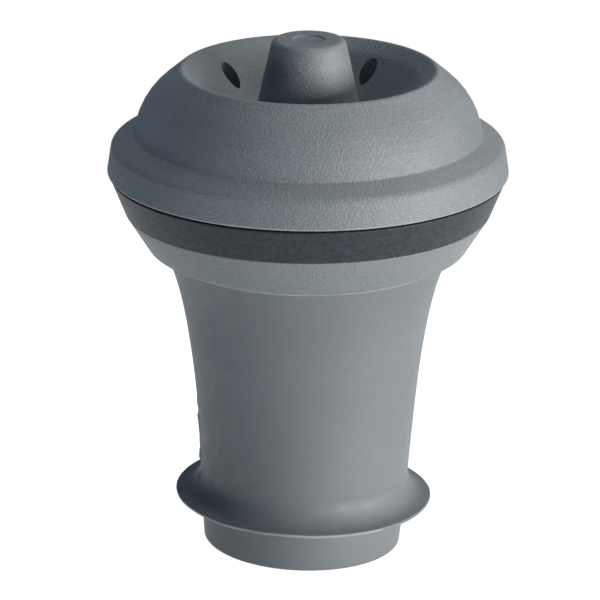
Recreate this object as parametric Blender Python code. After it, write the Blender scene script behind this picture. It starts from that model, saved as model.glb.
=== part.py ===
"""Vacuum bottle stopper: a soft body with a flared stem, a hard ring, a domed head with four vents
and a release knob, over a slit valve that opens when the knob goes down.

The axis is Z. The origin is the middle of the plug's bottom face. Sizes are in millimetres until
a mesh is made, which is in metres.
"""

import math

import bmesh
import bpy
from mathutils import Matrix, Vector

MM = 0.001          # metres in a millimetre
GAP = 0.3           # space kept between pieces that touch on the real stopper
SEGMENTS = 56       # sides of the large round pieces
FINE_SEGMENTS = 32  # sides of the small ones

# Driving dimensions, as radii and heights above the plug's bottom face.
BORE_R = 6.0
PLUG_R = 8.85
PLUG_TOP_R = 9.17
PLUG_ROUNDING = 0.25
SKIRT_R = 11.54
SKIRT_Z = 4.43
SKIRT_THICKNESS = 0.4
STEM_R = 9.37       # narrowest point, just above the skirt
STEM_Z = 6.2
STEM_TAPER = 0.036
STEM_FLARE = 0.004
STEM_MOUTH = 0.74   # extra spread of the stem just under the cone
STEM_TOP_Z = 27.4
CONE_FOOT = (14.2, 28.05)
CONE_TOP_R = 16.35
CONE_TOP_Z = 31.45
BAND_TOP_R = 17.6
BAND_TOP_Z = 34.5
COLLAR_R = 17.84
COLLAR_TOP_R = 17.45
COLLAR_Z = 34.84
COLLAR_SHOULDER_Z = 37.4
CREASE = (15.45, 38.38)
DOME_SHOULDER = (14.7, 41.45)
DOME_ROUNDING = 6.9
CREST = (11.29, 44.27)
BOWL_BEND = (9.85, 43.25)
BOWL_FOOT = (7.3, 40.4)
BOWL_HOLE_R = 7.1
KNOB_TOP_R = 3.235
KNOB_TOP_Z = 46.85
KNOB_FOOT = (4.82, 39.6)
KNOB_PIVOT_Z = 38.6
KNOB_BALL_R = 5.3
STALK_R = 1.5
STALK_TIP_Z = 32.3

# The seat and the slit valve in it.
SEAT_R = 11.3
SEAT_Z = 29.6
CHAMBER_R = 8.0
DISC_Z = SEAT_Z + GAP
DISC_TOP_Z = 31.15
LIP_R = 5.0
LIP_ROOT_Z = 30.3
LIP_THICKNESS = 0.8
LIP_RISE = 0.8
SLIT_HALF_WIDTH = 0.15
LIP_HINGE_Z = LIP_ROOT_Z + LIP_THICKNESS / 2

VENT_COUNT = 4
VENT_FIRST_DEG = 52.5
VENT_INNER_R = 7.65
VENT_OUTER_R = 9.65
VENT_HALF_WIDTH = 0.75


def clear_scene():
    for old in list(bpy.data.objects):
        bpy.data.objects.remove(old, do_unlink=True)


def material(name, colour, roughness):
    made = bpy.data.materials.new(name)
    made.use_nodes = True
    shader = made.node_tree.nodes["Principled BSDF"]
    shader.inputs["Base Color"].default_value = (*colour, 1.0)
    shader.inputs["Roughness"].default_value = roughness
    shader.inputs["Metallic"].default_value = 0.0
    return made


def arc(centre, radius, start_deg, end_deg, steps):
    """Points along part of a circle, both ends included, as (radius, height) pairs."""
    points = []
    for step in range(steps + 1):
        angle = math.radians(start_deg + (end_deg - start_deg) * step / steps)
        points.append((centre[0] + radius * math.cos(angle), centre[1] + radius * math.sin(angle)))
    return points


def rounded_corner(before, corner, after, radius, steps):
    """Points of the arc that touches both lines through the corner."""
    here = Vector(corner)
    back = (Vector(before) - here).normalized()
    ahead = (Vector(after) - here).normalized()
    half = back.angle(ahead) / 2
    centre = here + (back + ahead).normalized() * radius / math.sin(half)
    start = here + back * radius / math.tan(half) - centre
    end = here + ahead * radius / math.tan(half) - centre
    sweep = start.angle_signed(end)
    return [tuple(centre + Matrix.Rotation(-sweep * step / steps, 2) @ start) for step in range(steps + 1)]


def rounded(corners, steps=3):
    """An outline from (radius, height) corners; a third value rounds that corner to an arc of that radius."""
    outline = []
    for index, corner in enumerate(corners):
        if len(corner) == 2:
            outline.append(corner)
            continue
        before = corners[index - 1][:2]
        after = corners[(index + 1) % len(corners)][:2]
        outline += rounded_corner(before, corner[:2], after, corner[2], steps)
    return outline


def add_object(name, mesh, finish, origin=(0.0, 0.0, 0.0), turn_deg=0.0):
    """Shades the mesh and places it as an object whose origin is given in millimetres."""
    mesh.shade_smooth()
    mesh.set_sharp_from_angle(angle=math.radians(35))
    if not mesh.materials:
        mesh.materials.append(finish)
    placed = bpy.data.objects.new(name, mesh)
    placed.location = Vector(origin) * MM
    placed.rotation_euler.z = math.radians(turn_deg)
    bpy.context.scene.collection.objects.link(placed)
    return placed


def turned_bmesh(outline, segments):
    """Spins an outline of (radius, height) points round Z into a closed solid."""
    bm = bmesh.new()
    corners = [bm.verts.new((r * MM, 0.0, z * MM)) for r, z in outline]
    edges = [bm.edges.new(pair) for pair in zip(corners, corners[1:])]
    if outline[0][0] > 0.0:
        edges.append(bm.edges.new((corners[-1], corners[0])))
    bmesh.ops.spin(bm, geom=corners + edges, cent=(0, 0, 0), axis=(0, 0, 1),
                   angle=math.tau, steps=segments, use_merge=True)
    bmesh.ops.remove_doubles(bm, verts=bm.verts, dist=0.001 * MM)
    bmesh.ops.recalc_face_normals(bm, faces=bm.faces)
    return bm


def mesh_from(bm, name, origin=(0.0, 0.0, 0.0)):
    """Writes the bmesh to a mesh whose zero point is the origin, in millimetres."""
    bmesh.ops.translate(bm, verts=bm.verts, vec=-Vector(origin) * MM)
    mesh = bpy.data.meshes.new(name)
    bm.to_mesh(mesh)
    bm.free()
    return mesh


def turned(name, outline, finish, segments=SEGMENTS, origin=(0.0, 0.0, 0.0)):
    bm = turned_bmesh(outline, segments)
    return add_object(name, mesh_from(bm, name, origin), finish, origin)


def make_stem_body(finish):
    """Plug, thin sealing skirt, flared stem and cone, with the bore, the chamber and the valve's seat."""
    skirt_low = SKIRT_Z - SKIRT_THICKNESS / 2
    skirt_high = SKIRT_Z + SKIRT_THICKNESS / 2
    lead_in = 0.4
    outline = rounded([
        (BORE_R + lead_in, 0.0), (PLUG_R, 0.0, PLUG_ROUNDING), (PLUG_TOP_R, 3.8, 0.15),
        (SKIRT_R, skirt_low, 0.12), (SKIRT_R, skirt_high, 0.12), (STEM_R, 5.0, 1.35), (STEM_R, STEM_Z),
    ])
    steps = 12
    for step in range(1, steps + 1):
        rise = (STEM_TOP_Z - STEM_Z) * step / steps
        mouth = STEM_MOUTH * (step / steps) ** 8
        outline.append((STEM_R + STEM_TAPER * rise + STEM_FLARE * rise ** 2 + mouth, STEM_Z + rise))
    outline += rounded([
        (*CONE_FOOT, 0.5), (CONE_TOP_R, CONE_TOP_Z), (SEAT_R, CONE_TOP_Z), (SEAT_R, SEAT_Z),
        (CHAMBER_R, SEAT_Z), (CHAMBER_R, 27.2), (BORE_R, 24.6), (BORE_R, lead_in),
    ])
    return turned("stem_body", outline, finish)


def make_valve_disc(finish):
    """Soft flange that lies in the seat and carries the two lips in its middle."""
    rim = 11.0
    inner = LIP_R + GAP
    lip_top = LIP_ROOT_Z + LIP_THICKNESS
    outline = rounded([
        (rim, DISC_Z, 0.1), (rim, DISC_TOP_Z, 0.1), (8.2, DISC_TOP_Z), (7.2, lip_top),
        (inner, lip_top), (inner, LIP_ROOT_Z), (7.2, LIP_ROOT_Z), (8.0, DISC_Z),
    ], steps=1)
    return turned("valve_disc", outline, finish)


def make_valve_lips(finish):
    """The halves of a shallow dome, one on each side of the slit, each turning on its outer edge."""
    steps = 5
    under = []
    for step in range(steps + 1):
        r = LIP_R * step / steps
        under.append((r, LIP_ROOT_Z + LIP_RISE * (1 - (r / LIP_R) ** 2)))
    outline = under + [(r, z + LIP_THICKNESS) for r, z in reversed(under)]
    bm = turned_bmesh(outline, FINE_SEGMENTS)
    cut = bmesh.ops.bisect_plane(bm, geom=bm.verts[:] + bm.edges[:] + bm.faces[:],
                                 plane_co=(-SLIT_HALF_WIDTH * MM, 0, 0), plane_no=(1, 0, 0), clear_outer=True)
    rim = [part for part in cut["geom_cut"] if isinstance(part, bmesh.types.BMEdge)]
    bmesh.ops.contextual_create(bm, geom=rim)
    bmesh.ops.recalc_face_normals(bm, faces=bm.faces)
    hinge = (-LIP_R, 0.0, LIP_HINGE_Z)
    mesh = mesh_from(bm, "valve_lip", hinge)
    add_object("valve_lip_left", mesh, finish, hinge)
    add_object("valve_lip_right", mesh, finish, (LIP_R, 0.0, LIP_HINGE_Z), 180)


def make_band_ring(finish):
    """Hard ring seen as a dark band: a slanted rim outside, and a flange that clamps the valve disc."""
    under_z = CONE_TOP_Z + GAP
    clamp_z = DISC_TOP_Z + GAP
    flange_top_z = 33.1
    flange_r = 7.6
    rim_inner_r = 13.4
    slope = (BAND_TOP_R - CONE_TOP_R) / (BAND_TOP_Z - CONE_TOP_Z)
    outline = [
        (CONE_TOP_R + slope * GAP, under_z), (BAND_TOP_R, BAND_TOP_Z), (rim_inner_r, BAND_TOP_Z),
        (rim_inner_r, flange_top_z), (flange_r, flange_top_z), (flange_r, clamp_z),
        (SEAT_R - GAP, clamp_z), (SEAT_R - GAP, under_z),
    ]
    return turned("band_ring", outline, finish)


def vent_outline():
    """An egg shape in plan, a little blunter at its outer end."""
    steps = 8
    bias = 0.62         # 0.5 would make an ellipse
    widest = 0.463      # the most that share ** bias * sqrt(1 - share) reaches
    side = []
    for step in range(1, steps):
        share = (1 - math.cos(math.pi * step / steps)) / 2
        r = VENT_INNER_R + (VENT_OUTER_R - VENT_INNER_R) * share
        side.append((r, VENT_HALF_WIDTH * share ** bias * math.sqrt(1 - share) / widest))
    back = [(r, -y) for r, y in side]
    return [(VENT_INNER_R, 0.0)] + back + [(VENT_OUTER_R, 0.0)] + side[::-1]


def make_vent_cutters():
    """Upright egg-shaped pins, one for each vent, which pierce the bowl's sloping wall."""
    low_z = 37.0
    height = 9.0
    bm = bmesh.new()
    for index in range(VENT_COUNT):
        turn = Matrix.Rotation(math.radians(VENT_FIRST_DEG + index * 360 / VENT_COUNT), 3, "Z")
        foot = [bm.verts.new(turn @ Vector((x, y, low_z)) * MM) for x, y in vent_outline()]
        face = bm.faces.new(foot)
        risen = bmesh.ops.extrude_face_region(bm, geom=[face])
        top = [part for part in risen["geom"] if isinstance(part, bmesh.types.BMVert)]
        bmesh.ops.translate(bm, verts=top, vec=(0, 0, height * MM))
    bmesh.ops.recalc_face_normals(bm, faces=bm.faces)
    cutters = bpy.data.objects.new("vent_cutters", mesh_from(bm, "vent_cutters"))
    cutters.hide_render = True
    cutters.display_type = "WIRE"
    bpy.context.scene.collection.objects.link(cutters)
    return cutters


def make_head_cap(finish):
    """Collar, dome and bowl as one hollow shell on a neck, with the vents cut through the bowl's wall."""
    neck_r = 13.1
    neck_z = 33.4
    neck_bore_r = 10.6
    outline = rounded([
        (neck_r, neck_z), (neck_r, COLLAR_Z), (COLLAR_R, COLLAR_Z, 0.15), (COLLAR_TOP_R, COLLAR_SHOULDER_Z, 0.8),
        CREASE, (*DOME_SHOULDER, DOME_ROUNDING), (*CREST, 0.5), (*BOWL_BEND, 1.5), BOWL_FOOT, (BOWL_HOLE_R, 39.4),
        (BOWL_HOLE_R, 38.3), (8.2, 38.3), (9.3, 40.4), (10.2, 41.6), (11.4, 42.0), (12.5, 41.2),
        (13.2, 40.0), (13.4, 37.0), (neck_bore_r, 35.6), (neck_bore_r, neck_z),
    ], steps=5)
    head = turned("head_cap", outline, finish)
    vents = head.modifiers.new("vents", "BOOLEAN")
    vents.operation = "DIFFERENCE"
    vents.solver = "EXACT"
    vents.object = make_vent_cutters()
    return head


def make_knob_web(finish):
    """Thin soft ring that joins the knob's foot to the bowl and lets the knob sink."""
    low_z = 38.3
    high_z = 38.9
    inner = KNOB_BALL_R + GAP
    outer = BOWL_HOLE_R - GAP
    outline = rounded([(outer, low_z), (outer, high_z, 0.1), (inner, high_z), (inner, low_z)], steps=1)
    return turned("knob_web", outline, finish, FINE_SEGMENTS, (0.0, 0.0, KNOB_PIVOT_Z))


def make_release_knob(finish):
    """Tapered knob on a ball-shaped foot, with the stalk below it that pushes the valve's lips apart."""
    outline = [(0.0, STALK_TIP_Z)] + arc((0.0, STALK_TIP_Z + STALK_R), STALK_R, -68, 0, 3)
    outline += [(STALK_R, 37.0), (2.2, 37.5)]
    outline += arc((0.0, KNOB_PIVOT_Z), KNOB_BALL_R, -12, 3, 3)
    outline += rounded([KNOB_FOOT, (KNOB_TOP_R, KNOB_TOP_Z, 0.6), (0.0, KNOB_TOP_Z)], steps=4)
    return turned("release_knob", outline, finish, FINE_SEGMENTS, (0.0, 0.0, KNOB_PIVOT_Z))


def main():
    clear_scene()
    grey_rubber = material("grey_rubber", (0.11, 0.13, 0.14), 0.6)
    valve_rubber = material("valve_rubber", (0.08, 0.10, 0.11), 0.45)
    dark_plastic = material("dark_plastic", (0.015, 0.02, 0.025), 0.5)
    make_stem_body(grey_rubber)
    make_valve_disc(valve_rubber)
    make_valve_lips(valve_rubber)
    make_band_ring(dark_plastic)
    make_head_cap(grey_rubber)
    make_knob_web(grey_rubber)
    make_release_knob(grey_rubber)


main()
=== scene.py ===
# %% [markdown]
# # A rubber vacuum stopper for a wine bottle
# The stopper is a soft grey moulding: a plug with a thin sealing skirt, a flared stem, and a domed
# head with a bowl, four vents and a knob. A hard dark ring sits between cone and collar. Under the
# head lies a slit valve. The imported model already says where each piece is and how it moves, so it
# is loaded first, and this file only makes the surfaces and finishes that go on it.

# %% Load the fixed frame
import math

import bmesh
import bpy
from mathutils import Matrix, Vector, noise


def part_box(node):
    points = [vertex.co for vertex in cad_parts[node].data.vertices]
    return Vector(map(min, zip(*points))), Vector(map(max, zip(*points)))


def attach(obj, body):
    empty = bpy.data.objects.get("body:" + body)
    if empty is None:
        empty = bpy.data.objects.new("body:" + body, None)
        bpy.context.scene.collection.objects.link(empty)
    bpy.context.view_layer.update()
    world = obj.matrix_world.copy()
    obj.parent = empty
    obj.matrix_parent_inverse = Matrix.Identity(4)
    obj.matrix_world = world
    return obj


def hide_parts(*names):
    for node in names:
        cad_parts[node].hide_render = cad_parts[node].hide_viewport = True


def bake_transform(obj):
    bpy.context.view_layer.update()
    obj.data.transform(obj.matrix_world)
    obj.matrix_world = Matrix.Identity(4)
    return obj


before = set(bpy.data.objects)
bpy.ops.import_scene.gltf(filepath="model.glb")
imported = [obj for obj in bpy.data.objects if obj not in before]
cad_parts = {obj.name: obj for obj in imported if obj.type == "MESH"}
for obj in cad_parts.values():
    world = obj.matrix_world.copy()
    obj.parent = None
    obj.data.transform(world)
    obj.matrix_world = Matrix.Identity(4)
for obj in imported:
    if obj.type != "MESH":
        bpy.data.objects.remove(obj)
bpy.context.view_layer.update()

# %% [markdown]
# ## Sizes
# The frame is in metres, but a stopper is easier to think about in millimetres. So each outline is
# written in millimetres and scaled when its mesh is made. The sizes that matter most are read from
# the frame, which keeps this file and the solids from drifting apart.

# %% Read the driving sizes from the frame
MM = 0.001


def node_size(node):
    """Lowest height, highest height and outer radius of a round node, in millimetres."""
    low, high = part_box(node)
    return low.z / MM, high.z / MM, high.x / MM


_, CONE_TOP_Z, CONE_TOP_R = node_size("stem_body")
_, BAND_TOP_Z, BAND_TOP_R = node_size("band_ring")
NECK_Z, CREST_Z, COLLAR_R = node_size("head_cap")
STALK_TIP_Z, KNOB_TOP_Z, KNOB_BALL_R = node_size("release_knob")
DISC_Z, DISC_TOP_Z, DISC_R = node_size("valve_disc")
print(f"stem {CONE_TOP_Z:.2f} high, collar radius {COLLAR_R:.2f}, knob top at {KNOB_TOP_Z:.2f} mm")

# %% [markdown]
# ## Turned outlines with real corner radii
# Nearly every piece is round, like something turned on a lathe. A moulded part never has a knife
# edge, so each corner of an outline can carry a radius, and one helper swaps the corner for the
# arc that touches both of its lines. Another puts extra points on long runs, which keeps smooth
# shading from bending across a flat face, and gives later steps something to push.

# %% Outline helpers
DEGREES_PER_STEP = 9
ON_AXIS = 1e-6


def rounded_corner(before, corner, after, radius):
    here = Vector(corner)
    back = (Vector(before) - here).normalized()
    ahead = (Vector(after) - here).normalized()
    half = back.angle(ahead) / 2
    centre = here + (back + ahead).normalized() * radius / math.sin(half)
    start = here + back * radius / math.tan(half) - centre
    end = here + ahead * radius / math.tan(half) - centre
    sweep = start.angle_signed(end)
    steps = max(3, math.ceil(abs(math.degrees(sweep)) / DEGREES_PER_STEP))
    return [tuple(centre + Matrix.Rotation(-sweep * step / steps, 2) @ start) for step in range(steps + 1)]


def rounded(corners):
    """A list of (radius, height) points; a corner's third value is the radius that rounds it."""
    points = []
    for index, corner in enumerate(corners):
        if len(corner) == 2:
            points.append(corner)
            continue
        before = corners[index - 1][:2]
        after = corners[(index + 1) % len(corners)][:2]
        points += rounded_corner(before, corner[:2], after, corner[2])
    return points


def with_support(points, closed, longest=0.5, margin=0.07):
    """Adds points along each straight run: one near either end, and one at least every `longest` mm."""
    ends = points[1:] + points[:1] if closed else points[1:]
    dense = []
    for (r0, z0), (r1, z1) in zip(points, ends):
        length = math.hypot(r1 - r0, z1 - z0)
        shares = [0.0]
        if length > 3 * margin:
            inner = max(1, math.ceil((length - 2 * margin) / longest))
            first = margin / length
            shares += [first + (1 - 2 * first) * step / inner for step in range(inner + 1)]
        dense += [(r0 + (r1 - r0) * share, z0 + (z1 - z0) * share) for share in shares]
    return dense if closed else dense + [points[-1]]


print("a square corner of radius 1 becomes", len(rounded_corner((0, 0), (5, 0), (5, 5), 1.0)), "points")

# %% [markdown]
# ## From an outline to a solid
# The outline could be spun with a Screw modifier. Building the rings of points directly is just as
# short, and it lets the caller bend the surface by a small amount that depends on the place: real
# rubber is never perfectly round. The function that does this is passed in as `shape`.

# %% Turn an outline into a mesh
def turned(name, outline, segments=192, closed=True, shape=None):
    """Rings of points round Z, joined by quads. An open outline must start and end on the axis."""
    points = with_support(outline, closed)
    vertices = []
    rings = []
    for r, z in points:
        count = segments if r > ON_AXIS else 1
        rings.append([len(vertices) + index for index in range(count)])
        for index in range(count):
            angle = math.tau * index / segments
            new_r, new_angle, new_z = (r, angle, z) if shape is None else shape(r, angle, z)
            x = new_r * math.cos(new_angle)
            y = new_r * math.sin(new_angle)
            vertices.append((x * MM, y * MM, new_z * MM))
    pairs = list(zip(rings, rings[1:])) + ([(rings[-1], rings[0])] if closed else [])
    faces = []
    for low, high in pairs:
        for index in range(segments):
            after = (index + 1) % segments
            if len(low) == 1:
                faces.append((low[0], high[after], high[index]))
            elif len(high) == 1:
                faces.append((low[index], low[after], high[0]))
            else:
                faces.append((low[index], low[after], high[after], high[index]))
    mesh = bpy.data.meshes.new(name)
    mesh.from_pydata(vertices, [], faces)
    mesh.shade_smooth()
    piece = bpy.data.objects.new(name, mesh)
    bpy.context.scene.collection.objects.link(piece)
    print(f"{name}: {len(faces)} faces")
    return piece


def wave(angle, height, seed, size):
    """A slow, repeatable wander between about -1 and 1 for a place on a round piece."""
    return noise.noise(Vector((math.cos(angle) * size, math.sin(angle) * size, height * 0.09 + seed * 17.3)))


# %% [markdown]
# ## The node helpers for finishes
# Each finish is a Principled shader fed by a few texture nodes. The textures use object
# coordinates, so grain has the same size on every piece, whatever its mesh. Their scale is in
# repeats per metre: 5000 gives grains of a fifth of a millimetre.

# %% Node helpers
class Finish:
    """A material under construction, with short calls for the nodes that every finish needs."""

    def __init__(self, name, roughness, specular=0.5, sheen=0.0):
        self.material = bpy.data.materials.new(name)
        self.material.use_nodes = True
        self.nodes = self.material.node_tree.nodes
        self.links = self.material.node_tree.links
        self.shader = self.nodes["Principled BSDF"]
        self.shader.inputs["Roughness"].default_value = roughness
        self.shader.inputs["Specular IOR Level"].default_value = specular
        self.shader.inputs["Sheen Weight"].default_value = sheen
        self.shader.inputs["Sheen Roughness"].default_value = 0.4
        self.place = self.nodes.new("ShaderNodeTexCoord").outputs["Object"]

    def noise(self, scale, detail=2.0, roughness=0.5):
        node = self.nodes.new("ShaderNodeTexNoise")
        node.inputs["Scale"].default_value = scale
        node.inputs["Detail"].default_value = detail
        node.inputs["Roughness"].default_value = roughness
        self.links.new(self.place, node.inputs["Vector"])
        return node.outputs["Fac"]

    def cells(self, scale, smoothness=0.6):
        node = self.nodes.new("ShaderNodeTexVoronoi")
        node.feature = "SMOOTH_F1"
        node.inputs["Scale"].default_value = scale
        node.inputs["Smoothness"].default_value = smoothness
        self.links.new(self.place, node.inputs["Vector"])
        return node.outputs["Distance"]

    def spread(self, source, low, high, from_low=0.3, from_high=0.7):
        """Maps a texture's middle range to low..high, and holds it there."""
        node = self.nodes.new("ShaderNodeMapRange")
        node.inputs["From Min"].default_value = from_low
        node.inputs["From Max"].default_value = from_high
        node.inputs["To Min"].default_value = low
        node.inputs["To Max"].default_value = high
        self.links.new(source, node.inputs["Value"])
        return node.outputs["Result"]

    def combine(self, first, second, share):
        """A mix of two textures: share is how much of the second shows."""
        node = self.nodes.new("ShaderNodeMix")
        node.data_type = "FLOAT"
        node.inputs["Factor"].default_value = share
        self.links.new(first, node.inputs["A"])
        self.links.new(second, node.inputs["B"])
        return node.outputs["Result"]

    def colours(self, source, dark, light):
        """Blends two colours by a texture whose values run from 0 to 1."""
        node = self.nodes.new("ShaderNodeMix")
        node.data_type = "RGBA"
        sockets = {socket.identifier: socket for socket in node.inputs}
        sockets["A_Color"].default_value = (*dark, 1.0)
        sockets["B_Color"].default_value = (*light, 1.0)
        self.links.new(source, sockets["Factor_Float"])
        result = {socket.identifier: socket for socket in node.outputs}["Result_Color"]
        self.links.new(result, self.shader.inputs["Base Color"])

    def rough(self, source):
        self.links.new(source, self.shader.inputs["Roughness"])

    def bump(self, layers):
        """Stacks bumps. Each layer is (texture, height in millimetres, strength)."""
        normal = None
        for source, height, strength in layers:
            node = self.nodes.new("ShaderNodeBump")
            node.inputs["Distance"].default_value = height * MM
            node.inputs["Strength"].default_value = strength
            self.links.new(source, node.inputs["Height"])
            if normal is not None:
                self.links.new(normal, node.inputs["Normal"])
            normal = node.outputs["Normal"]
        self.links.new(normal, self.shader.inputs["Normal"])


def dress(piece, *finishes):
    """Puts finishes in a piece's material slots, in order."""
    piece.data.materials.clear()
    for finish in finishes:
        piece.data.materials.append(finish)


# %% [markdown]
# ## Grained rubber
# Head, knob and cone come from a spark-eroded mould, which leaves a fine pebble grain that
# scatters light and shows best where light grazes it. Smooth cells give the pebbles, and noise
# breaks up their rows. The colour wanders a little, as carbon and chalk never mix quite evenly.

# %% Make the grained rubber
def make_grained_rubber():
    finish = Finish("grained rubber", roughness=0.6, specular=0.5, sheen=0.04)
    pebbles = finish.cells(5500)
    fine = finish.noise(9500, detail=3.0, roughness=0.6)
    grain = finish.combine(pebbles, fine, 0.5)
    mottle = finish.combine(finish.noise(140, detail=4.0), finish.noise(6000, detail=1.0), 0.7)
    finish.colours(finish.spread(mottle, 0.0, 1.0), (0.065, 0.082, 0.089), (0.107, 0.128, 0.137))
    finish.rough(finish.spread(fine, 0.50, 0.68))
    finish.bump([(finish.noise(420, detail=2.0), 0.03, 0.25), (grain, 0.072, 1.0)])
    return finish.material


grained_rubber = make_grained_rubber()
print("made", grained_rubber.name)

# %% [markdown]
# ## Smooth rubber
# The stem, the skirt and the plug must seal against glass, so their part of the mould is polished.
# The rubber there is satin, with a faint haze from the polishing strokes and almost no grain.

# %% Make the smooth rubber
def make_smooth_rubber():
    finish = Finish("smooth rubber", roughness=0.6, specular=0.42, sheen=0.05)
    haze = finish.noise(900, detail=3.0, roughness=0.6)
    cloud = finish.combine(finish.noise(110, detail=4.0), finish.noise(5200, detail=2.0), 0.5)
    finish.colours(finish.spread(cloud, 0.0, 1.0), (0.062, 0.076, 0.083), (0.078, 0.094, 0.102))
    finish.rough(finish.spread(haze, 0.54, 0.68))
    finish.bump([(finish.noise(330, detail=2.0), 0.04, 0.2), (finish.noise(6500, detail=2.0), 0.02, 0.5)])
    return finish.material


smooth_rubber = make_smooth_rubber()
print("made", smooth_rubber.name)

# %% [markdown]
# ## Ring plastic, valve rubber and edges with painted highlight
# The ring is a rigid plastic, nearly black with a cool tint, and its grain is coarser and harder
# than the rubber's. The valve is a softer, slightly glossier rubber without that grain. A third
# finish is the grey rubber again, made paler as a painted highlight on thin edges that catch light.

# %% Make the other three finishes
def make_ring_plastic():
    finish = Finish("ring plastic", roughness=0.5, specular=0.25)
    finish.shader.inputs["Specular Tint"].default_value = (0.85, 0.93, 1.0, 1.0)
    pits = finish.cells(3900, smoothness=0.35)
    fine = finish.noise(8000, detail=2.0)
    cloud = finish.noise(2600, detail=3.0)
    finish.colours(finish.spread(cloud, 0.0, 1.0), (0.007, 0.010, 0.013), (0.017, 0.022, 0.027))
    finish.rough(finish.spread(fine, 0.42, 0.62))
    finish.bump([(finish.combine(pits, fine, 0.5), 0.05, 0.8)])
    return finish.material


def make_valve_rubber():
    finish = Finish("valve rubber", roughness=0.42, specular=0.45)
    cloud = finish.noise(420, detail=3.0)
    finish.colours(finish.spread(cloud, 0.0, 1.0), (0.060, 0.072, 0.078), (0.075, 0.088, 0.095))
    finish.rough(finish.spread(cloud, 0.36, 0.5))
    finish.bump([(finish.noise(1500, detail=2.0), 0.02, 0.3)])
    return finish.material


def make_edge_highlight_rubber():
    """The same rubber, made paler on a thin edge as a painted highlight where light catches it."""
    finish = Finish("edge highlight rubber", roughness=0.6, specular=0.5, sheen=0.08)
    # The paler colours are painted highlight, made uneven along the edge.
    uneven_highlight = finish.combine(finish.noise(320, detail=3.0), finish.noise(4200, detail=2.0), 0.4)
    finish.colours(finish.spread(uneven_highlight, 0.0, 1.0), (0.090, 0.108, 0.115), (0.175, 0.198, 0.207))
    return finish.material


edge_highlight_rubber = make_edge_highlight_rubber()
ring_plastic = make_ring_plastic()
valve_rubber = make_valve_rubber()
print("made", ", ".join(finish.name for finish in (edge_highlight_rubber, ring_plastic, valve_rubber)))

# %% [markdown]
# ## The stem body
# Plug, skirt, stem and cone are one soft moulding with a bore. The stem's side follows a gentle
# parabola, which is what lets it wedge in mouths of slightly different size, and opens like a
# trumpet under the cone. Three things keep it from looking machined: the soft stem has bent a
# little, the thin skirt is wavy, and the mould's halves leave a fine, broken line of flash.

# %% Outline of the stem body
BORE_R = 6.0
BORE_CHAMFER = 0.4
BORE_TOP_Z = 24.6
CHAMBER_R = 8.0
CHAMBER_FOOT_Z = 27.2
SEAT_Z = 29.6
RECESS_R = 11.3
PLUG_FOOT_R = 8.85
PLUG_TOP = (9.17, 3.75)
STEM_R = 9.37
STEM_Z = 6.2
STEM_TOP_Z = 27.35
SKIRT_R = 11.54
SKIRT_Z = 4.43
SKIRT_EDGE = 0.26
FILLET_R = 2.0
FILLET_FOOT_Z = 4.95
FILLET_TOP_Z = 6.75
STEM_TAPER = 0.036
STEM_CURVE = 0.004
TRUMPET_WIDTH = 0.74
TRUMPET_POWER = 8
CONE_FOOT = (14.2, 28.05)
BEAD = 0.07


def stem_side(z):
    """The stem's radius: nearly straight at the bottom, and flared like a trumpet under the cone."""
    rise = z - STEM_Z
    mouth = TRUMPET_WIDTH * (rise / (STEM_TOP_Z - STEM_Z)) ** TRUMPET_POWER
    return STEM_R + STEM_TAPER * rise + STEM_CURVE * rise ** 2 + mouth


GRAIN_EDGE = (stem_side(STEM_TOP_Z), STEM_TOP_Z)


def stem_outline():
    low = SKIRT_Z - SKIRT_EDGE / 2
    high = SKIRT_Z + SKIRT_EDGE / 2
    points = rounded([
        (BORE_R + BORE_CHAMFER, 0.0, 0.1), (PLUG_FOOT_R, 0.0, 0.3), (*PLUG_TOP, 0.2),
        (SKIRT_R, low, 0.1), (SKIRT_R, high, 0.1), (STEM_R, FILLET_FOOT_Z, FILLET_R),
        (STEM_R, FILLET_TOP_Z),
    ])
    steps = 40
    for step in range(1, steps + 1):
        z = FILLET_TOP_Z + (STEM_TOP_Z - FILLET_TOP_Z) * step / steps
        points.append((stem_side(z), z))
    points += rounded([
        (GRAIN_EDGE[0] + BEAD, GRAIN_EDGE[1] - BEAD / 2, 0.04),
        (GRAIN_EDGE[0] + 2 * BEAD, GRAIN_EDGE[1] + BEAD, 0.03),
        (*CONE_FOOT, 0.5), (CONE_TOP_R, CONE_TOP_Z, 0.08), (RECESS_R, CONE_TOP_Z, 0.08),
        (RECESS_R, SEAT_Z, 0.1), (CHAMBER_R, SEAT_Z, 0.1), (CHAMBER_R, CHAMBER_FOOT_Z, 0.3),
        (BORE_R, BORE_TOP_Z, 0.5), (BORE_R, BORE_CHAMFER, 0.1),
    ])
    return points


print("stem side at mid height:", round(stem_side(16.0), 2), "mm")

# %% Shape of the stem body
BEND = 0.026
BEND_TOP_Z = 14.0
BEND_RUN = 4.0
FLASH_SIDES = (1.04 * math.pi, 0.04 * math.pi)
FLASH_FOOT_Z = 4.8
FLASH_TOP_Z = 16.0
FLASH_FADE = 4.0
FLASH_HEIGHT = 0.26
FLASH_WIDTH = 0.16
ABOVE_SKIRT_Z = 6.0
SKIRT_ROOT_R = 9.6
SKIRT_RAMP = 1.4


def bent(x, z):
    """Where a point goes when the stem bends by BEND radians, all within BEND_RUN below BEND_TOP_Z."""
    below = max(0.0, BEND_TOP_Z - z)
    if below < BEND_RUN:
        slope = BEND * below / BEND_RUN
        shift = slope * below / 2
    else:
        slope = BEND
        shift = BEND * (below - BEND_RUN / 2)
    return x - shift, z - slope * x


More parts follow.
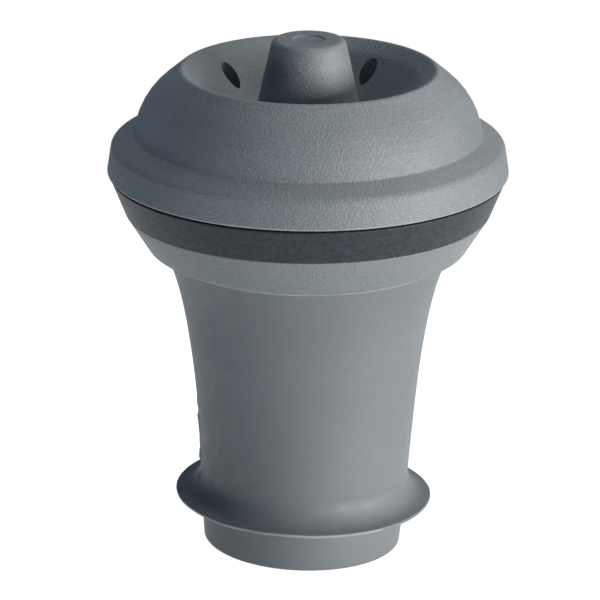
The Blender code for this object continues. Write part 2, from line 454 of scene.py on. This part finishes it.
def flash(r, angle, z):
    """Height of the broken ridges where the mould's two halves meet. They fade half way up the stem."""
    if not FLASH_FOOT_Z < z < FLASH_TOP_Z:
        return 0.0
    height = 0.0
    for side in FLASH_SIDES:
        wander = 0.03 * noise.noise(Vector((side, 9.0, z * 1.1)))
        apart = abs(math.remainder(angle - side - wander, math.tau)) * r
        broken = max(0.0, noise.noise(Vector((side, 4.0, z * 0.9))) + 0.3)
        height += FLASH_HEIGHT * broken * math.exp(-(apart / FLASH_WIDTH) ** 2)
    return height * min(1.0, (FLASH_TOP_Z - z) / FLASH_FADE)


def stem_shape(r, angle, z):
    """Adds slow waves, the wavy skirt, the flash lines and the bend to a perfectly turned stem."""
    outside = r > BORE_R + 2.0 and z < GRAIN_EDGE[1]
    if outside:
        on_skirt = max(0.0, min(1.0, (r - SKIRT_ROOT_R) / SKIRT_RAMP)) if z < ABOVE_SKIRT_Z else 0.0
        r += 0.03 * wave(angle, z, 1, 1.2) * (1.0 - on_skirt) + flash(r, angle, z)
        z += on_skirt * (0.10 * wave(angle, 0.0, 3, 1.7) + 0.05 * wave(angle, 0.0, 4, 6.0))
    x, z = bent(r * math.cos(angle), z)
    y = r * math.sin(angle)
    return math.hypot(x, y), math.atan2(y, x), z


stem = turned("stem_body_skin", stem_outline(), segments=256, shape=stem_shape)
dress(stem, smooth_rubber, grained_rubber, edge_highlight_rubber)
# The third slot is a painted highlight: the skirt's brim and the bead under the cone are made paler where
# these edges catch light.
BRIM_WIDTH = 0.12
BEAD_REACH = 0.1
INSIDE_R = 12.0
CONE_SKIN_R = 13.0
for face in stem.data.polygons:
    radius = math.hypot(face.center.x, face.center.y) / MM
    height = face.center.z / MM
    on_bead = radius > INSIDE_R and abs(height - GRAIN_EDGE[1]) < BEAD_REACH
    on_brim = SKIRT_R - BRIM_WIDTH < radius and height < ABOVE_SKIRT_Z and face.normal.z < 0.5
    if on_bead or on_brim:
        face.material_index = 2
    elif height > GRAIN_EDGE[1] and radius > CONE_SKIN_R:
        face.material_index = 1
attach(stem, "stopper")
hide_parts("stem_body")

# %% [markdown]
# ## The dark ring
# The ring is turned too. Its outside leans out to follow the cone, and its edges are crisp because
# hard plastic fills a mould's corners better than rubber does. A flange reaches in under the head
# and clamps the valve, out of sight. The ring stands a hair above its solid, which narrows the gap
# under the collar.

# %% Make the ring
CLAMP_Z = DISC_TOP_Z + 0.3
RING_TOP_Z = BAND_TOP_Z + 0.12
SEAM_Z = CONE_TOP_Z + 0.015
SOCKET_R = 13.4
SOCKET_Z = 33.1
RING_HOLE_R = 7.6
CLAMP_R = 11.0
ring = turned("band_ring_skin", rounded([
    (CONE_TOP_R - 0.02, SEAM_Z, 0.03), (BAND_TOP_R, RING_TOP_Z, 0.12), (SOCKET_R, RING_TOP_Z, 0.1),
    (SOCKET_R, SOCKET_Z, 0.2), (RING_HOLE_R, SOCKET_Z, 0.2), (RING_HOLE_R, CLAMP_Z, 0.1),
    (CLAMP_R, CLAMP_Z), (CLAMP_R, SEAM_Z),
]))
dress(ring, ring_plastic)
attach(ring, "stopper")
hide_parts("band_ring")

# %% [markdown]
# ## The head
# Collar, dome and bowl are one soft shell. The collar's lower lip is sharp where two mould halves
# meet, its shoulder is round, and a tight crease separates it from the dome. The dome rises almost
# straight, bends in with a wide radius and turns over the crest into the bowl's steep wall.

# %% Outline of the head
NECK_R = 13.1
NECK_HOLE_R = 10.6
COLLAR_FOOT_Z = 34.8
CREASE = (15.45, 38.38)
DOME_BEND = (14.7, 41.45)
CREST = (11.29, 44.27)
BOWL_WALL = (9.85, 43.25)
BOWL_FOOT = (7.3, 40.4)
BOWL_HOLE_R = 7.1
BOWL_HOLE_Z = 38.3
HEAD_WAVE_FOOT_Z = 37.0
HEAD_OUTSIDE = [
    (NECK_R, NECK_Z, 0.1), (NECK_R, COLLAR_FOOT_Z), (COLLAR_R, COLLAR_FOOT_Z, 0.15),
    (COLLAR_R - 0.39, 37.4, 0.8), (*CREASE, 0.15), (*DOME_BEND, 6.9), (*CREST, 0.45),
    (*BOWL_WALL, 2.0), (*BOWL_FOOT, 0.1), (BOWL_HOLE_R, 39.4), (BOWL_HOLE_R, BOWL_HOLE_Z, 0.2),
]
HEAD_INSIDE = [
    (8.2, BOWL_HOLE_Z, 0.2), (9.3, 40.4), (10.2, 41.6, 0.5), (11.4, 42.0, 0.5), (12.5, 41.2, 0.5),
    (13.2, 40.0, 0.5), (13.4, 37.0, 0.5), (NECK_HOLE_R, 35.6, 0.5), (NECK_HOLE_R, NECK_Z, 0.1),
]


def head_shape(r, angle, z):
    """The soft shell wanders a few hundredths of a millimetre, and its crest is not quite level."""
    if r < BOWL_HOLE_R + 0.1 or z < HEAD_WAVE_FOOT_Z:
        return r, angle, z
    return r + 0.03 * wave(angle, z, 5, 1.1), angle, z + 0.03 * wave(angle, z, 6, 1.3)


head = turned("head_cap_skin", rounded(HEAD_OUTSIDE + HEAD_INSIDE), segments=224, shape=head_shape)

# %% [markdown]
# ## The vents
# Four small pins in the mould stand straight up through the bowl's sloping wall. A pin with an egg
# shape in plan leaves an eye-shaped mouth there. Cutting with a Boolean is the honest way to make
# it: the mouth's outline comes from where the pin meets the wall, and nobody has to draw it.

# %% Cut the vents
VENT_COUNT = 4
VENT_FIRST_DEG = 52.5
VENT_INNER_R = 7.78
VENT_OUTER_R = 9.65
VENT_HALF_WIDTH = 0.75
PIN_FOOT_Z = 37.5
PIN_HEIGHT = 8.0


def vent_plan(steps=24):
    """An egg shape in plan, a little blunter at its outer end. A bias of 0.5 would make an ellipse."""
    bias = 0.62
    widest = 0.463
    side = []
    for step in range(1, steps):
        share = (1 - math.cos(math.pi * step / steps)) / 2
        r = VENT_INNER_R + (VENT_OUTER_R - VENT_INNER_R) * share
        side.append((r, VENT_HALF_WIDTH * share ** bias * math.sqrt(1 - share) / widest))
    back = [(r, -y) for r, y in side]
    return [(VENT_INNER_R, 0.0)] + back + [(VENT_OUTER_R, 0.0)] + side[::-1]


def make_vent_pins():
    bm = bmesh.new()
    for index in range(VENT_COUNT):
        turn = Matrix.Rotation(math.radians(VENT_FIRST_DEG + index * 360 / VENT_COUNT), 3, "Z")
        foot = [bm.verts.new(turn @ Vector((x, y, PIN_FOOT_Z)) * MM) for x, y in vent_plan()]
        face = bm.faces.new(foot)
        risen = bmesh.ops.extrude_face_region(bm, geom=[face])
        top = [part for part in risen["geom"] if isinstance(part, bmesh.types.BMVert)]
        bmesh.ops.translate(bm, verts=top, vec=(0, 0, PIN_HEIGHT * MM))
    bmesh.ops.recalc_face_normals(bm, faces=bm.faces)
    mesh = bpy.data.meshes.new("vent_pins")
    bm.to_mesh(mesh)
    bm.free()
    pins = bpy.data.objects.new("vent_pins", mesh)
    bpy.context.scene.collection.objects.link(pins)
    return pins


def apply_modifiers(piece):
    """Replaces a piece's mesh with the one its modifiers make."""
    shown = piece.evaluated_get(bpy.context.evaluated_depsgraph_get())
    finished = bpy.data.meshes.new_from_object(shown)
    piece.modifiers.clear()
    piece.data = finished


pins = make_vent_pins()
cut = head.modifiers.new("vents", "BOOLEAN")
cut.operation = "DIFFERENCE"
cut.solver = "EXACT"
cut.object = pins
before = len(head.data.polygons)
apply_modifiers(head)
bpy.data.objects.remove(pins)
head.data.shade_smooth()
head.data.set_sharp_from_angle(angle=math.radians(40))
dress(head, grained_rubber, edge_highlight_rubber)
# Slot 1 is a painted highlight along the collar's lower lip, made paler where that edge catches light.
COLLAR_EDGE_WIDTH = 0.14
COLLAR_EDGE_TOP_Z = 34.97
for face in head.data.polygons:
    radius = math.hypot(face.center.x, face.center.y) / MM
    if radius > COLLAR_R - COLLAR_EDGE_WIDTH and face.center.z / MM < COLLAR_EDGE_TOP_Z:
        face.material_index = 1
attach(head, "stopper")
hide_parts("head_cap")
print("the vents changed", before, "faces into", len(head.data.polygons))

# %% [markdown]
# ## The knob
# A tapered knob stands in the bowl, with a well rounded top edge for the thumb. Its top is left
# plain but for the shallow round mark that the mould's ejector pin leaves. Below the web it ends
# in a ball-shaped foot, and a stalk reaches down to the valve.

# %% Make the knob
PIVOT_Z = 38.6
KNOB_FOOT = (4.82, 39.6)
KNOB_TOP_R = 3.235
STALK_R = 1.5
MARK_R = 1.35
MARK_SLOPE = 0.08
MARK_Z = KNOB_TOP_Z - 0.12
knob_points = [(0.0, STALK_TIP_Z)]
for step in range(1, 9):
    turn = math.radians(-90 + step * 90 / 8)
    knob_points.append((STALK_R * math.cos(turn), STALK_TIP_Z + STALK_R + STALK_R * math.sin(turn)))
knob_points += [(STALK_R, 36.8), (1.7, 37.2), (2.2, 37.5)]
for step in range(6):
    turn = math.radians(-12 + step * 3)
    knob_points.append((KNOB_BALL_R * math.cos(turn), PIVOT_Z + KNOB_BALL_R * math.sin(turn)))
knob_points += rounded([
    KNOB_FOOT, (KNOB_TOP_R, KNOB_TOP_Z, 0.6), (MARK_R + MARK_SLOPE, KNOB_TOP_Z),
    (MARK_R, MARK_Z, 0.03), (0.0, MARK_Z),
])


def knob_shape(r, angle, z):
    if z < KNOB_FOOT[1] or r < 2.0:
        return r, angle, z
    return r + 0.03 * wave(angle, z, 8, 1.0), angle, z


knob = turned("release_knob_skin", knob_points, segments=128, closed=False, shape=knob_shape)
dress(knob, grained_rubber)
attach(knob, "knob")
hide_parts("release_knob")

# %% [markdown]
# ## The web round the knob
# On the real stopper the bowl's floor thins to a web that carries the knob and stretches when the
# knob is pushed. Here the web is two thin skins: the outer one runs between the bowl and the ring
# where they join, and the inner one between that ring and the knob. The skins therefore fall
# steadily towards the knob, and their thickness is measured sideways, so both faces of a skin move
# alike.

# %% Make the web
WEB_THICKNESS = 0.35
WEB_JOIN = (6.45, 39.45)
OUTER_RUN = [(7.32, 40.42), (7.1, 40.17), (6.85, 39.89), (6.62, 39.63), WEB_JOIN]
INNER_RUN = [WEB_JOIN, (6.2, 39.2), (5.95, 38.98), (5.7, 38.82), (5.4, 38.71), (5.1, 38.66)]


def web_skin(name, run):
    under = [(r + WEB_THICKNESS, z) for r, z in reversed(run)]
    skin = turned(name, list(run) + under, segments=128)
    dress(skin, grained_rubber)
    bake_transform(skin)
    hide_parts("knob_web")


web_skin("knob_web_outer_skin", OUTER_RUN)
web_skin("knob_web_inner_skin", INNER_RUN)

# %% [markdown]
# ## The valve
# The valve lies under the head, and can be seen only up through the bore. Its flange is turned. Its
# two lips are halves of a shallow dome: one dome is turned, cut along the slit and closed again,
# and the second lip is the same shape turned half way round.

# %% Make the valve's flange
LIP_R = 5.0
LIP_ROOT_Z = 30.3
LIP_THICKNESS = 0.8
LIP_RISE = 0.8
SLIT_HALF_WIDTH = 0.16
LIP_TOP_Z = LIP_ROOT_Z + LIP_THICKNESS
MOUTH_R = LIP_R + 0.12
SLOPE_TOP_R = 7.2
disc = turned("valve_disc_skin", rounded([
    (DISC_R, DISC_Z, 0.2), (DISC_R, DISC_TOP_Z, 0.2), (8.2, DISC_TOP_Z, 0.1), (SLOPE_TOP_R, LIP_TOP_Z, 0.1),
    (MOUTH_R, LIP_TOP_Z, 0.1), (MOUTH_R, LIP_ROOT_Z, 0.1), (SLOPE_TOP_R, LIP_ROOT_Z, 0.2), (8.0, DISC_Z, 0.2),
]), segments=128)
dress(disc, valve_rubber)
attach(disc, "stopper")
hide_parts("valve_disc")

# %% Make the two lips
def make_lip(name, body, node, turn_deg):
    under = []
    steps = 12
    for step in range(steps + 1):
        r = (LIP_R - 0.08) * step / steps
        under.append((r, LIP_ROOT_Z + LIP_RISE * (1 - (r / LIP_R) ** 2)))
    rim = (LIP_R, (under[-1][1] * 2 + LIP_THICKNESS) / 2)
    lip = turned(name, under + [rim] + [(r, z + LIP_THICKNESS) for r, z in reversed(under)], 96, closed=False)
    bm = bmesh.new()
    bm.from_mesh(lip.data)
    cut = bmesh.ops.bisect_plane(bm, geom=bm.verts[:] + bm.edges[:] + bm.faces[:],
                                 plane_co=(-SLIT_HALF_WIDTH * MM, 0, 0), plane_no=(1, 0, 0), clear_outer=True)
    slit = [part for part in cut["geom_cut"] if isinstance(part, bmesh.types.BMEdge)]
    filled = bmesh.ops.contextual_create(bm, geom=slit)["faces"]
    bmesh.ops.triangulate(bm, faces=filled)
    bmesh.ops.recalc_face_normals(bm, faces=bm.faces)
    turn = Matrix.Rotation(math.radians(turn_deg), 3, "Z")
    bmesh.ops.rotate(bm, verts=bm.verts, cent=(0, 0, 0), matrix=turn)
    bm.to_mesh(lip.data)
    bm.free()
    lip.data.shade_smooth()
    lip.data.set_sharp_from_angle(angle=math.radians(40))
    dress(lip, valve_rubber)
    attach(lip, body)
    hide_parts(node)


make_lip("valve_lip_left_skin", "lip_left", "valve_lip_left", 0)
make_lip("valve_lip_right_skin", "lip_right", "valve_lip_right", 180)

# %% [markdown]
# ## Floor and light
# A stopper is sold on its shape, so the stage is plain. The floor is a small pale disc that glows by
# itself: it stays white round the foot and lights the cone from below. Of the five soft panels, a
# strong one stands low on the right, three weaker ones fill in from above, behind and further
# right, and a faint one on the left shines up past the floor's edge at the head's underside. The
# world is a dim blue, but white to the camera, so that the floor has no visible end.

# %% Make the floor
FLOOR_GLOW = 0.97
FLOOR_RADIUS = 0.11
FLOOR_Z = -0.3


def make_floor():
    finish = Finish("pale floor", roughness=0.75, specular=0.1)
    cloud = finish.noise(30, detail=3.0)
    finish.colours(finish.spread(cloud, 0.0, 1.0), (0.30, 0.30, 0.30), (0.33, 0.33, 0.33))
    finish.shader.inputs["Emission Color"].default_value = (1.0, 1.0, 1.0, 1.0)
    finish.shader.inputs["Emission Strength"].default_value = FLOOR_GLOW
    bm = bmesh.new()
    bmesh.ops.create_circle(bm, cap_ends=True, segments=96, radius=FLOOR_RADIUS)
    mesh = bpy.data.meshes.new("floor")
    bm.to_mesh(mesh)
    bm.free()
    floor = bpy.data.objects.new("floor", mesh)
    floor.location.z = FLOOR_Z * MM
    bpy.context.scene.collection.objects.link(floor)
    dress(floor, finish.material)


make_floor()
print("floor radius", FLOOR_RADIUS, "m")

# %% Hang the lights
def soft_light(name, azimuth_deg, elevation_deg, distance, width, height, power, colour=(1.0, 1.0, 1.0)):
    """A panel that faces the stopper. Azimuth 0 is towards the camera, and 90 is to its right."""
    light = bpy.data.lights.new(name, "AREA")
    light.shape = "RECTANGLE"
    light.size = width
    light.size_y = height
    light.energy = power
    light.color = colour
    lamp = bpy.data.objects.new(name, light)
    azimuth = math.radians(azimuth_deg)
    elevation = math.radians(elevation_deg)
    aim = Vector((0, 0, CREST_Z * MM / 2))
    level = math.cos(elevation)
    offset = Vector((math.sin(azimuth) * level, -math.cos(azimuth) * level, math.sin(elevation)))
    lamp.location = aim + offset * distance
    lamp.rotation_euler = (-offset).to_track_quat("-Z", "Y").to_euler()
    bpy.context.scene.collection.objects.link(lamp)


soft_light("key panel", 57, 5, 0.60, 0.42, 0.19, 9.3, (1.0, 0.906, 0.87))
soft_light("top panel", 30, 80, 0.60, 0.35, 0.35, 1.4, (1.0, 0.97, 0.90))
soft_light("right panel", 112, 36, 0.60, 0.30, 0.30, 1.6, (1.0, 0.92, 0.86))
soft_light("back panel", 180, 55, 0.60, 0.35, 0.35, 0.7, (1.0, 0.94, 0.85))
soft_light("low panel", -58, -9, 0.60, 0.40, 0.12, 0.9, (0.95, 0.97, 1.0))

world = bpy.data.worlds.new("studio")
bpy.context.scene.world = world
world.use_nodes = True
nodes = world.node_tree.nodes
dim = nodes["Background"]
dim.inputs["Color"].default_value = (0.30, 0.58, 1.0, 1.0)
dim.inputs["Strength"].default_value = 0.2
seen = nodes.new("ShaderNodeBackground")
seen.inputs["Color"].default_value = (1.0, 1.0, 1.0, 1.0)
choice = nodes.new("ShaderNodeMixShader")
links = world.node_tree.links
links.new(nodes.new("ShaderNodeLightPath").outputs["Is Camera Ray"], choice.inputs["Fac"])
links.new(dim.outputs["Background"], choice.inputs[1])
links.new(seen.outputs["Background"], choice.inputs[2])
links.new(choice.outputs["Shader"], nodes["World Output"].inputs["Surface"])
bpy.context.scene.view_settings.view_transform = "Standard"
print("lights hung")

# %% [markdown]
# ## The camera
# A small object looks natural from a distance through a long lens, which keeps its upright lines
# nearly parallel. The camera looks down by about 19 degrees, enough to show into the bowl.

# %% Place the camera
CAMERA_PLACE = (-0.624, -381.57, 152.67)
CAMERA_PITCH_DEG = 71.179
CAMERA_ROLL_DEG = 0.42
camera_data = bpy.data.cameras.new("camera")
camera_data.lens = 270.0
camera_data.sensor_width = 36.0
camera_data.clip_start = 0.01
camera_data.clip_end = 20.0
camera = bpy.data.objects.new("camera", camera_data)
camera.location = Vector(CAMERA_PLACE) * MM
pitch = Matrix.Rotation(math.radians(CAMERA_PITCH_DEG), 4, "X")
roll = Matrix.Rotation(math.radians(CAMERA_ROLL_DEG), 4, "Z")
camera.rotation_euler = (pitch @ roll).to_euler()
bpy.context.scene.collection.objects.link(camera)
bpy.context.scene.camera = camera
print("the camera stands", round(camera.location.length / MM), "mm away")
